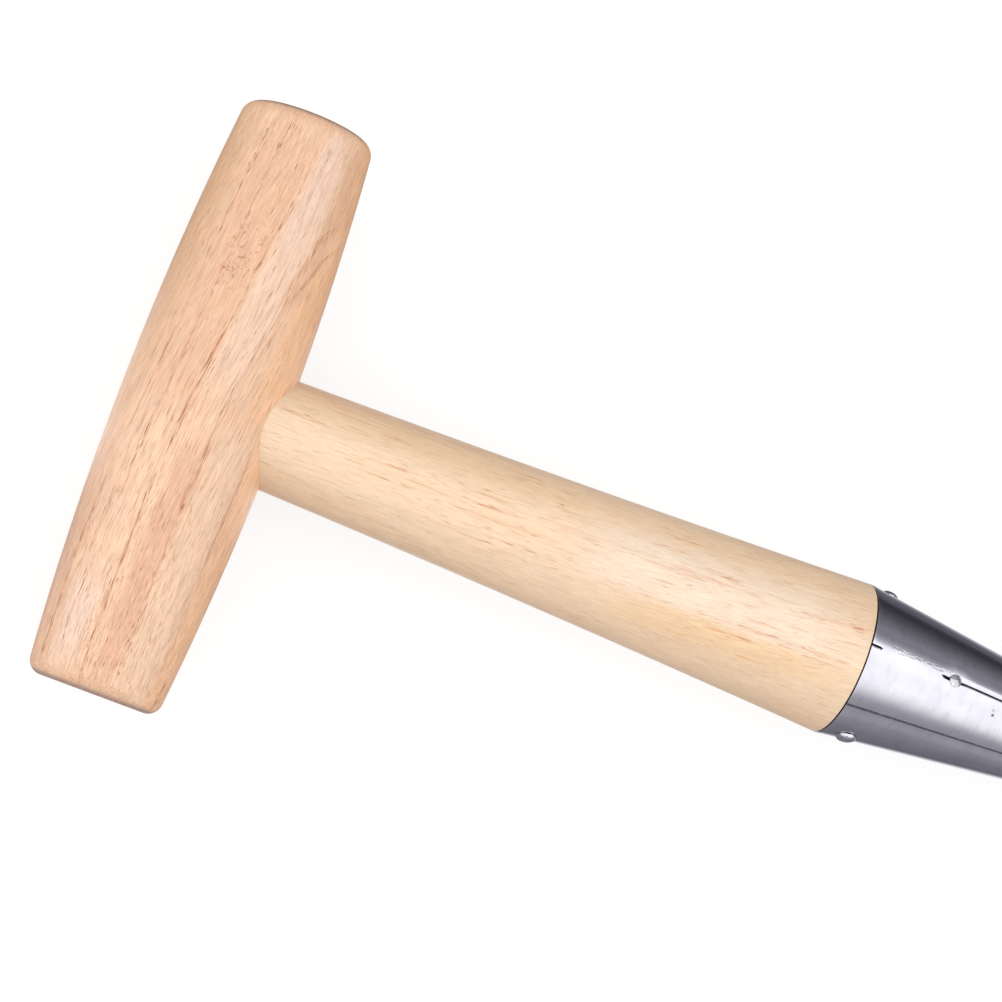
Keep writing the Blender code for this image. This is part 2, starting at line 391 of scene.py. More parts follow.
def pick(piece, chooser):
    """Opens a piece for editing with only the vertices selected that a test chooses."""
    select_only(piece)
    bpy.ops.object.mode_set(mode="EDIT")
    bpy.ops.mesh.select_mode(type="VERT")
    bpy.ops.mesh.select_all(action="DESELECT")
    close_mesh()
    for vertex in piece.data.vertices:
        vertex.select = chooser(vertex)
    bpy.ops.object.mode_set(mode="EDIT")


def pull_edge(piece, edge, low, high, degrees):
    """Turns one edge of the sheet round the axis between two setbacks, towards +Y from the top."""
    pick(piece, lambda vertex: vertex.index in edge and low <= setback_of(vertex.co) <= high)
    bpy.ops.transform.rotate(value=math.radians(degrees), orient_axis="X", orient_type="GLOBAL",
                             center_override=RIM_CENTRE)
    close_mesh()


steel = draw_line("steel_cone_rolled", sheet_line(SEAM_TURN + SEAM_ANGLE / 2))
sheet_rows = len(steel.data.vertices)
spin_line(steel, RIM_CENTRE, ALONG_X, SHEET_COLUMNS, math.radians(360.0 - SEAM_ANGLE))
point_count = len(steel.data.vertices)
left_edge = set(range(sheet_rows))
right_edge = set(range(point_count - sheet_rows, point_count))
weld_start = CONE_LENGTH - WELD_LENGTH
for edge, way in ((left_edge, -1.0), (right_edge, 1.0)):
    for low, high in ((SEAM_SHUT_FROM, SEAM_SHUT_TO), (weld_start, CONE_LENGTH)):
        pull_edge(steel, edge, low, high, way * SEAM_ANGLE / 2)
for low, high, degrees in SEAM_GAPE:
    pull_edge(steel, right_edge, low, high, -degrees)
for column, depth in enumerate(SEAM_CURL):
    rows = set(range(column * sheet_rows, (column + 1) * sheet_rows))
    pick(steel, lambda vertex: vertex.index in rows
         and SEAM_SHUT_TO < setback_of(vertex.co) < weld_start)
    bpy.ops.mesh.hide(unselected=True)
    close_mesh()
    pick(steel, lambda vertex: not vertex.hide and setback_of(vertex.co) < CURL_STEADY_TO)
    bpy.ops.transform.translate(value=outward(SEAM_TURN) * -depth, use_proportional_edit=True,
                                proportional_edit_falloff="LINEAR",
                                proportional_size=weld_start - CURL_STEADY_TO)
    bpy.ops.mesh.reveal(select=False)
    close_mesh()
for setback in (0.0, 10 * MM, 24 * MM, 115 * MM):
    left, right = [min((steel.data.vertices[index].co for index in edge),
                       key=lambda point: abs(setback_of(point) - setback))
                   for edge in (left_edge, right_edge)]
    print("seam", round(setback / MM), "mm from the rim is", round((left - right).length / MM, 3),
          "mm wide")

# %% [markdown]
# The hammer that set the nails knocked a dent round each, deepest where the seam's nail pulls the
# two edges down, which proportional editing makes: one point is pushed in and its neighbours
# follow. Each nail has its place along the cone, its angle, how far it leans towards the point, its
# dent and how far it is driven.
#
# Solidify then adds the thickness on the inside, and a bevel too small to see breaks the edges, as
# a file would. Last, a straight crease runs down the front, where the sheet came off the flat. The
# outer faces there are cut lengthwise by three planes through the axis, and the middle cut is
# pushed in.

# %% Dents, crease and thickness
NAIL_PLACES = {
    "seam_nail": (19.75 * MM, SEAM_TURN, 4.0, 0.18 * MM, 0.15 * MM),
    "rim_nail_left": (5.35 * MM, 93.0, 0.0, 0.12 * MM, 0.06 * MM),
    "rim_nail_right": (5.1 * MM, -75.2, 0.0, 0.12 * MM, 0.06 * MM),
}
DENT_REACH = 4.2 * MM
CREASE_TURN = -36.3
CREASE_HALF_ANGLE = 0.75
CREASE_DEPTH = 0.07 * MM
CREASE_REACH = 8.0
SHEET_EDGE = 0.06 * MM
SHEET_EDGE_STEPS = 2
SHEET_SMOOTH_TO = 60.0


def dent(piece, setback, turn, depth):
    """Pushes the sheet in round a nail, fading out with distance."""
    place = on_axis(setback, cone_radius(setback), turn)
    nearest = min(piece.data.vertices, key=lambda vertex: (vertex.co - place).length).index
    pick(piece, lambda vertex: vertex.index == nearest)
    bpy.ops.transform.translate(value=outward(turn) * -depth, use_proportional_edit=True,
                                proportional_edit_falloff="SMOOTH", proportional_size=DENT_REACH)
    close_mesh()


def near_turn(point, turn, reach):
    """Whether a point lies within an angle of another one round the axis."""
    return abs((turn_of(point) - turn + 180.0) % 360.0 - 180.0) <= reach


def outside(point):
    """Whether a point of the sheet lies on its outer side."""
    across = math.hypot(point.y, point.z - AXIS_HEIGHT)
    return across > cone_radius(setback_of(point), SHEET_THICKNESS / 2)


def crease(piece):
    """Cuts the front of the sheet lengthwise in three places and pushes the middle cut in."""
    for turn in (-CREASE_HALF_ANGLE, 0.0, CREASE_HALF_ANGLE):
        pick(piece, lambda vertex: near_turn(vertex.co, CREASE_TURN, CREASE_REACH)
             and outside(vertex.co))
        bpy.ops.mesh.bisect(plane_co=RIM_CENTRE,
                            plane_no=ALONG_X.cross(outward(CREASE_TURN + turn)))
        close_mesh()
    pick(piece, lambda vertex: near_turn(vertex.co, CREASE_TURN, CREASE_HALF_ANGLE / 4)
         and outside(vertex.co) and setback_of(vertex.co) < weld_start)
    bpy.ops.transform.translate(value=outward(CREASE_TURN) * -CREASE_DEPTH)
    close_mesh()


def shut(point):
    """Whether a point lies on the seam where its two edges meet."""
    setback = setback_of(point)
    return near_turn(point, SEAM_TURN, SEAM_ANGLE) and (
        SEAM_SHUT_FROM < setback < SEAM_SHUT_TO or setback > weld_start)


def break_edges(piece, width):
    """Bevels the sharp edges, but for the tight corners where the seam opens and shuts."""
    pick(piece, lambda vertex: False)
    bpy.ops.mesh.select_mode(type="EDGE")
    bpy.ops.mesh.edges_select_sharp(sharpness=math.radians(SHEET_SMOOTH_TO))
    close_mesh()
    for edge in piece.data.edges:
        if any(shut(piece.data.vertices[end].co) for end in edge.vertices):
            edge.select = False
    bpy.ops.object.mode_set(mode="EDIT")
    bpy.ops.mesh.bevel(offset=width, segments=SHEET_EDGE_STEPS)
    close_mesh()


tidy_mesh(steel)
for nail_setback, nail_turn, _, dent_depth, _ in NAIL_PLACES.values():
    dent(steel, nail_setback, nail_turn, dent_depth)
tidy_mesh(steel)
facing = sum(1 for face in steel.data.polygons
             if face.normal.dot(face.center - Vector((face.center.x, 0.0, AXIS_HEIGHT))) > 0)
print("steel sheet:", facing, "of", len(steel.data.polygons), "faces look outwards")
modify(steel, "SOLIDIFY", thickness=SHEET_THICKNESS, offset=-1.0, use_even_offset=True)
break_edges(steel, SHEET_EDGE)
crease(steel)
tidy_mesh(steel, SHEET_SMOOTH_TO)
print("steel with its thickness:", len(steel.data.polygons), "faces")

# %% [markdown]
# ## The nails
#
# Three round wire nails hold the steel to the wood. A head is turned as a dome with its shank and
# point below. Of the two by the rim, one is broader than the other. The one in the seam was beaten
# flat and leans a little towards the point. Holes are drilled for the shanks through sheet and
# wood, with a shallow seat for each head, so nothing runs through anything else.

# %% Nails
NAIL_HEADS = {
    "seam_nail": (1.32 * MM, 0.20 * MM, 2.0, 60.0),
    "rim_nail_left": (1.75 * MM, 0.95 * MM, 2.2, 0.0),
    "rim_nail_right": (2.1 * MM, 1.08 * MM, 2.5, 0.0),
}
NAIL_SHANK_RADIUS = 0.9 * MM
NAIL_LENGTH = 10.2 * MM
NAIL_POINT = 2.4 * MM
DRILL_CLEARANCE = 0.03 * MM
NAIL_STEPS = 48
HEAD_STEPS = 18


def on_cone(setback, turn, lift, lean):
    """A seat on the sheet's face, its Z axis square to the face or leaning towards the point."""
    return (Matrix.Translation(RIM_CENTRE)
            @ Matrix.Rotation(-math.radians(turn), 4, "X")
            @ Matrix.Translation((setback, 0.0, cone_radius(setback)))
            @ Matrix.Rotation(HALF_ANGLE, 4, "Y")
            @ Matrix.Translation((0.0, 0.0, lift))
            @ Matrix.Rotation(math.radians(lean), 4, "Y"))


def nail_profile(head_radius, rise, fullness, brim_turn):
    """A head that follows a full curve down to its brim's angle, a round shank and a point."""
    power = 2.0 / fullness
    brim = math.radians(brim_turn)
    brim_radius, brim_height = math.cos(brim) ** power, math.sin(brim) ** power
    head = []
    for part in range(1, HEAD_STEPS):
        turn = math.pi / 2 + (brim - math.pi / 2) * part / HEAD_STEPS
        head.append((head_radius * math.cos(turn) ** power / brim_radius,
                     rise * (math.sin(turn) ** power - brim_height) / (1.0 - brim_height)))
    return [
        (0.0, rise),
        *head,
        (head_radius, 0.0),
        (NAIL_SHANK_RADIUS, 0.0),
        (NAIL_SHANK_RADIUS, NAIL_POINT - NAIL_LENGTH),
        (0.0, -NAIL_LENGTH),
    ]


def drill_profile(head_radius):
    """The seat for a nail's head and the hole for its shank, down into the wood."""
    wide, narrow = head_radius + DRILL_CLEARANCE, NAIL_SHANK_RADIUS + DRILL_CLEARANCE
    end = -NAIL_LENGTH - DRILL_CLEARANCE
    return [(0.0, MM), (wide, MM), (wide, -DRILL_CLEARANCE), (narrow, -DRILL_CLEARANCE),
            (narrow, end + NAIL_POINT), (0.0, end)]


nails = {}
for nail_name, (nail_setback, nail_turn, lean, _, sink) in NAIL_PLACES.items():
    seat = on_cone(nail_setback, nail_turn, -sink, lean)
    head = NAIL_HEADS[nail_name]
    nails[nail_name] = lathe(nail_name + "_domed", nail_profile(*head), seat, NAIL_STEPS)
    for piece in (steel, stem):
        cut_away(piece, lathe("drill", drill_profile(head[0]), seat, NAIL_STEPS))
tidy_mesh(steel, SHEET_SMOOTH_TO)
tidy_mesh(stem)
print("a nail:", len(nails["seam_nail"].data.polygons), "faces; drilled steel:",
      len(steel.data.polygons), "faces; drilled stem:", len(stem.data.polygons), "faces")

# %% [markdown]
# ## Tools for the finishes
#
# A finish is a small net of nodes, and the same few links come back in each: a sum, a smooth
# step, a curve drawn through points, a noise, and a blend of two colours. These helpers lay them
# out, so that a finish below reads as a recipe. Each finds its net from the sockets that feed it.
# Colours are written as on a paint card, from 0 to 255, and turned into the linear values that a
# shader works with.

# %% Helpers for finishes
WHITE = (1.0, 1.0, 1.0, 1.0)


def paint(red, green, blue):
    """A paint card's colour as the linear values that a shader expects."""
    linear = [((part / 255 + 0.055) / 1.055) ** 2.4 if part > 10 else part / 255 / 12.92
              for part in (red, green, blue)]
    return (*linear, 1.0)


def new_finish(name, kind="ShaderNodeBsdfPrincipled"):
    """An empty material with a shader wired to its output."""
    finish = bpy.data.materials.new(name)
    finish.use_nodes = True
    tree = finish.node_tree
    tree.nodes.clear()
    shader = tree.nodes.new(kind)
    tree.links.new(shader.outputs[0], tree.nodes.new("ShaderNodeOutputMaterial").inputs[0])
    return finish, tree, shader


def join(value, socket):
    """Wires a value into a socket, or writes it there if it is a plain number or colour."""
    if isinstance(value, bpy.types.NodeSocket):
        socket.id_data.links.new(value, socket)
    else:
        socket.default_value = value


def feed(node, named):
    """Joins values to a node's sockets by their names."""
    for name, value in named.items():
        join(value, node.inputs[name])


def lay(kind, *values, named=None, **settings):
    """Lays one node, fed in order by the values and by name with the others."""
    named = named or {}
    tree = next(value.id_data for value in (*values, *named.values())
                if isinstance(value, bpy.types.NodeSocket))
    node = tree.nodes.new(kind)
    for setting, choice in settings.items():
        setattr(node, setting, choice)
    for socket, value in zip(node.inputs, values):
        join(value, socket)
    feed(node, named)
    return node


def calc(operation, *values, **settings):
    """One Math node."""
    return lay("ShaderNodeMath", *values, operation=operation, **settings).outputs[0]


def chain(operation, first, *others):
    """Math nodes in a row, each of which takes the last result and the next value."""
    for other in others:
        first = calc(operation, first, other)
    return first


def plus(*values):
    """A sum."""
    return chain("ADD", *values)


def minus(first, second):
    """A difference."""
    return calc("SUBTRACT", first, second)


def times(*values):
    """A product."""
    return chain("MULTIPLY", *values)


def most(*values):
    """The greatest of several values."""
    return chain("MAXIMUM", *values)


def measured(operation, *vectors):
    """A vector's length, or the distance between two."""
    return lay("ShaderNodeVectorMath", *vectors, operation=operation).outputs["Value"]


def step(value, low, high, to_low=0.0, to_high=1.0, kind="SMOOTHSTEP"):
    """Carries a value from one range to another, with soft ends."""
    return lay("ShaderNodeMapRange", value, low, high, to_low, to_high,
               interpolation_type=kind).outputs[0]


def noise(vector, scale, detail=2.0, roughness=0.5, twist=0.0):
    """A noise from 0 to 1."""
    return lay("ShaderNodeTexNoise", vector, named={
        "Scale": scale, "Detail": detail, "Roughness": roughness, "Distortion": twist}).outputs[0]


def stretch(vector, sizes, shift=(0.0, 0.0, 0.0)):
    """Scales a vector part by part and moves it, so that a noise grows long one way."""
    return lay("ShaderNodeMapping", vector, shift, named={"Scale": sizes}).outputs[0]


def mixed(share, first, second):
    """Blends two colours."""
    node = lay("ShaderNodeMix", share, data_type="RGBA")
    join(first, node.inputs[6])
    join(second, node.inputs[7])
    return node.outputs[2]


def drawn_curve(value, points, low, high, to_low, to_high):
    """A smooth curve through points, from one range of values to another."""
    node = lay("ShaderNodeFloatCurve", 1.0, step(value, low, high, kind="LINEAR"))
    line = node.mapping.curves[0]
    spots = sorted(((at - low) / (high - low), (out - to_low) / (to_high - to_low))
                   for at, out in points)
    while len(line.points) < len(spots):
        line.points.new(0.5, 0.5)
    for point, spot in zip(line.points, spots):
        point.location = spot
    node.mapping.update()
    return step(node.outputs[0], 0.0, 1.0, to_low, to_high, kind="LINEAR")


def bumped(height, distance, strength, **under):
    """Turns a height from 0 to 1 into a tilt of the surface, on top of another tilt if given."""
    return lay("ShaderNodeBump", named={
        "Strength": strength, "Distance": distance, "Height": height, **under}).outputs[0]


# %% [markdown]
# ## Wood
#
# Both woods are the same kind of pale plantation hardwood, sanded and left bare: a light ground,
# broad bands a shade darker, long brown streaks where the tree's rings come to the surface, and
# short open pores that lie along them. Nothing here is a picture. The ground, bands and pores are
# noises stretched along the grain, and the streaks are drawn lines.
#
# A streak is given as points of (length along the work, angle round it). The grain turns a little
# round the work on its way, so the noises are turned with it before they are read.

# %% Recipe for turned wood
PATH_SPAN = 40.0
STREAK_HALO = 4.5
CORE_SOFT = 0.1
CORE_FULL = 0.97


def turned_space(tree, centre, along, across, up):
    """Length along the work, angle round it and distance from its axis, in mm and degrees."""
    coords = tree.nodes.new("ShaderNodeTexCoord").outputs["Object"]
    placed = stretch(coords, (1 / MM,) * 3, tuple(-part / MM for part in centre))
    parts = lay("ShaderNodeSeparateXYZ", placed).outputs
    side, height = parts[across], parts[up]
    angle = times(calc("ARCTAN2", side, height), math.degrees(1.0))
    reach = calc("SQRT", plus(times(side, side), times(height, height)))
    return placed, parts[along], angle, reach


def follow_grain(placed, axis, drift):
    """Turns the work back by the grain's own turn, so that a streak becomes a straight line."""
    return lay("ShaderNodeVectorRotate", placed, rotation_type="AXIS_ANGLE", named={
        "Axis": axis, "Angle": times(drift, -math.radians(1.0))}).outputs[0]


def drawn_path(length, angle, points, half_width, soft, fade, depth):
    """How near a drawn path is, and how much of it shows at this length."""
    low, high = points[0][0], points[-1][0]
    middle = sum(out for _, out in points) / len(points)
    path = drawn_curve(length, points, low, high, middle - PATH_SPAN, middle + PATH_SPAN)
    off = calc("ABSOLUTE", minus(angle, path))
    body = step(off, half_width - soft, half_width, 1.0, 0.0)
    start = step(length, low, low + fade)
    end = step(length, high - fade, high, 1.0, 0.0)
    return body, times(start, end, depth)


def drawn_area(length, angle, *drawing):
    """A drawn band on the turned surface, soft at its sides and ends."""
    return times(*drawn_path(length, angle, *drawing))


def drawn_streaks(length, angle, streaks):
    """All the drawn streaks at once: their thin dark cores, and the soft halos round them."""
    cores, halos = [], []
    core_edge = 1.0 - 1.0 / STREAK_HALO
    for points, core, fade, depth in streaks:
        halo = core * STREAK_HALO
        body, shown = drawn_path(length, angle, points, halo, halo, fade, depth)
        cores.append(times(step(body, core_edge - CORE_SOFT, CORE_FULL), shown))
        halos.append(times(body, shown))
    return most(*cores), most(*halos)


# %% Streaks and bands of the crossbar
TAN = paint(217, 173, 134)
BUFF = paint(222, 179, 148)
SALMON = paint(216, 167, 130)
ROSE = paint(216, 163, 131)
CREAM = paint(229, 189, 157)
PALE = paint(231, 195, 172)
ORANGE = paint(234, 182, 137)

GRIP_DRIFT = [(-60, 0), (-35, 0), (-20, 1), (-12, 3), (0, 6.5), (8, 10.5),
              (18, 15), (30, 20), (40, 24), (48, 27), (60, 31)]
GRIP_STREAKS = [
    ([(-60, -63), (-45, -62), (-30, -58.7), (-13, -52)], 0.81, 4, 0.75),
    ([(-15, -52), (0, -48), (14, -43), (27, -41.5), (40, -39.4), (58, -35.5)], 0.74, 5, 0.65),
    ([(-55, -43.5), (-46, -44), (-40, -42), (-36, -40)], 0.74, 3, 0.6),
    ([(-32, -46), (-22, -44), (-20, -44)], 1.12, 3, 0.5),
    ([(-22, -39), (-12, -36.4), (0, -32.5), (10, -30), (20, -27.5), (40, -24),
      (58, -19)], 0.62, 5, 0.6),
    ([(-60, -18), (-50, -20), (-35, -19.2), (-15, -18)], 0.68, 3, 0.8),
    ([(-14, -17.5), (-7, -15.8), (2, -13.7), (10, -10.4), (17, -7.4)], 0.74, 4, 0.85),
    ([(12, -9.5), (20, -6.1), (33, -0.8), (42, 4.2), (56, 8)], 0.5, 4, 0.55),
    ([(-58, 9), (-40, 7.6), (-25, 7), (-12, 8), (0, 10), (10, 16), (23, 24.5)], 0.74, 5, 0.65),
    ([(-11, 7), (0, 12.5), (10, 19.5), (18, 23)], 0.56, 4, 0.5),
    ([(12, 22.8), (14.5, 23.7), (18.5, 25.3)], 0.81, 2, 1),
    ([(21, 23.5), (26, 26), (30, 28.5), (34, 33), (39, 40), (42, 56)], 0.93, 3, 0.75),
    ([(22, 26), (26, 32), (30, 39), (34.5, 47.5), (37, 60)], 1.05, 2.5, 0.75),
    ([(-33, 42.5), (-18, 43), (-3, 43.8)], 0.81, 5, 0.7),
    ([(-60, 58.5), (-56, 58), (-52, 58.5)], 1.86, 2, 0.7),
    ([(32, 12), (44, 15), (57, 19)], 0.5, 4, 0.5),
    ([(30, 18), (44, 22.5), (57, 27)], 0.43, 4, 0.4),
    ([(-55, -27), (-48, -26.5), (-42, -26)], 0.87, 3, 0.4),
]
GRIP_BANDS = [
    (BUFF, [(-62, -86), (-30, -82), (4, -76), (20, -72)], 25, 6, 20, 0.8),
    (TAN, [(-12, -84), (14, -74), (40, -70), (60, -66.5)], 31, 5, 16, 0.9),
    (PALE, [(-60, -40), (-48, -39), (-34, -38)], 19, 11, 12, 0.9),
    (SALMON, [(-10, -34), (10, -27), (30, -21), (60, -13)], 22, 5, 14, 0.75),
    (ROSE, [(-62, -2), (-40, -1.5), (-20, -1), (-4, 1)], 11.5, 6, 12, 0.9),
    (CREAM, [(-60, 24), (-30, 25), (0, 28)], 16, 6, 10, 0.7),
    (PALE, [(-2, -2), (12, 6), (25, 12), (40, 19), (60, 24)], 15, 6, 12, 0.5),
    (PALE, [(28, 9), (38, 14), (50, 19), (62, 23)], 9, 5, 8, 0.7),
    (ORANGE, [(-62, 66), (0, 68), (62, 70)], 25, 8, 2, 0.8),
    (ORANGE, [(-4, 38), (14, 46), (36, 56)], 17, 5, 6, 0.9),
    (SALMON, [(19, 24), (28, 31), (36, 40), (58, 48)], 9, 4, 5, 0.7),
]
GRIP_FLECKS = ([(18, -19), (28, -17), (38, -15)], 19, 12, 7, 1)

# %% [markdown]
# The stem is a paler piece of the same kind of wood. Its streaks are short, hazy and close to the
# ground in tone, and a warm stain lies along its near side by the steel. A paler band along its
# top towards the steel is a painted highlight.

# %% Streaks and bands of the stem
STRAW = paint(235, 199, 155)
# Paler cream for the painted highlight along the stem's top.
PAINTED_SHEEN = paint(236, 213, 187)

STEM_DRIFT = [(0, 0), (30, 0), (60, 2), (90, 7), (115, 14), (140, 22)]
STEM_STREAKS = [
    ([(12, 22.5), (18, 22.5), (24, 22.8)], 0.91, 3, 0.6),
    ([(25, 16), (28, 16), (32, 16)], 0.84, 2.5, 0.4),
    ([(30, 5), (38, 7), (46, 7.2)], 0.77, 4, 0.6),
    ([(29, -8), (37, -6.6), (45, -6.4)], 0.7, 4, 0.6),
    ([(58, 51), (62, 51), (69, 51.2)], 0.91, 2.5, 0.5),
    ([(60, 44), (63, 44), (66, 44)], 0.91, 2, 0.5),
    ([(53, 13), (58, 13.5), (64, 14)], 0.7, 3, 0.5),
    ([(50, 3.5), (57, 4), (67, 5.2)], 0.77, 4, 0.6),
    ([(50, -6.5), (56, -6), (76, -2)], 0.77, 5, 0.5),
    ([(58, -20), (62, -20), (72, -19)], 0.7, 3, 0.5),
    ([(52, -27), (57, -27), (63, -26.5)], 0.77, 3, 0.5),
    ([(70, 12), (78, 13), (88, 14)], 0.7, 4, 0.4),
    ([(89, 10), (98, 11), (105, 11.5)], 0.84, 3, 0.7),
    ([(95, 14), (102, 14.5), (117, 15)], 0.77, 3, 0.55),
    ([(90, 26), (96, 28), (101, 29)], 1.05, 2, 0.5),
    ([(103, 19), (108, 20), (113, 20.5)], 0.98, 2.5, 0.6),
    ([(93, 40), (98, 41), (106, 42)], 0.91, 3, 0.45),
    ([(123, 15), (130, 17.5), (139.5, 20)], 0.84, 3, 0.8),
    ([(112, -4), (116, -3.5), (123, -2.5)], 0.77, 3, 0.5),
    ([(102, -15.5), (112, -12), (125, -9.5), (139.5, -9)], 0.7, 4, 0.6),
    ([(106, -22), (112, -21), (119, -20)], 0.91, 3, 0.6),
    ([(126, -14.5), (132, -13.5), (138, -13)], 0.7, 3, 0.5),
]
STEM_BANDS = [
    (STRAW, [(84, -34), (104, -29), (124, -23), (139, -20)], 14, 7, 14, 0.95),
    # A painted highlight: a paler band along the top towards the steel.
    (PAINTED_SHEEN, [(72, 8), (100, 11), (120, 13), (142, 14)], 33, 12, 18, 0.9),
    (STRAW, [(10, 36), (50, 40), (90, 44), (139, 44)], 22, 12, 10, 0.35),
]


# %% [markdown]
# ## Wood finish
#
# The recipe lays the broad bands on the ground first, then the fibres, which lighten and darken
# it by a few parts in a hundred, then the streaks and the pores. Beside the streaks, and most
# towards one end of the work, fine hairs run with the grain: dark ones, and pale painted
# highlights (glints) between them. Pores crowd along the streaks, so a streak lowers the level
# that the pore noise has to reach. Beside each pore an offset copy of it is painted lighter, a
# painted highlight where light would catch its lifted lip. Where the work ends, the end grain is
# painted darker and greyer, partly its own open tone and partly painted shade, with the tree's
# rings as arcs round a heart that lay outside the piece. Where a piece goes into the steel, shade
# is painted: its colour is kept dark, as no light gets there.
#
# A noise is given by its share of length along the grain, its shift, and then its scale, detail,
# roughness and twist. A shading is given by the noise's range and how much it darkens.

# %% Wood finish
# Colour of the painted shade where the stem goes into the steel.
PAINTED_RIM_SHADE = paint(34, 26, 22)
DRIFT_SPAN = 40.0
WOOD_NOISES = {
    "broad": (0.10, 0.0, 0.16, 2.0),
    "fibre": (0.05, 7.0, 2.2, 3.0, 0.62, 0.9),
    "mottle": (0.25, 3.0, 1.0, 3.0, 0.6, 0.8),
    "fleck": (0.10, 31.0, 1.6, 1.0),
    "blotch": (0.35, 17.0, 0.45, 3.0, 0.6, 0.6),
    "hair": (0.035, 41.0, 5.0, 2.0, 0.6, 0.4),
    "pores": (0.065, 11.0, 3.8, 1.0),
    # An offset copy of the pores, for the painted highlight beside each pore.
    "pore_highlights": (0.065, 11.13, 3.8, 1.0),
    "patches": (0.30, 23.0, 0.22, 2.0),
}
SHADINGS = {
    "fibre": (0.30, 0.70, 1.0),
    "mottle": (0.25, 0.75, -0.8),
    "blotch": (0.32, 0.68, 0.8),
}
STREAK_WAVER = 2.2
STREAK_GAPS = {"fleck": (0.28, 0.52), "hair": (0.38, 0.58)}
STREAK_IN_GAP = 0.45
STRAY_LEVEL = (0.58, 0.68)
HAIR_LEVEL = (0.55, 0.64)
GLINT_LEVEL = (0.44, 0.35)
GLINT_DEPTH = 0.4
BESIDE_STREAK = 0.6
HALO_SHARE = 0.22
HAIR_SHARE = 0.8
PORE_LEVEL = (0.80, 0.88)
CROWD_BY_STREAK = 0.17
CROWD_BY_PATCH = 0.22
# How strongly the painted highlight beside each pore shows.
PORE_HIGHLIGHT_SHARE = 0.45
FLECK_DEPTH = 0.7
END_GRAIN_FLAT = (1.0, 0.0, 1.0)
END_GRAIN_FADE = (1.2, 0.3)
HEART = (26.0, 0.0, -17.0)
RING_PACE = 3.1
RING_WAVER = 2.5
RIM_SHADE = 0.06


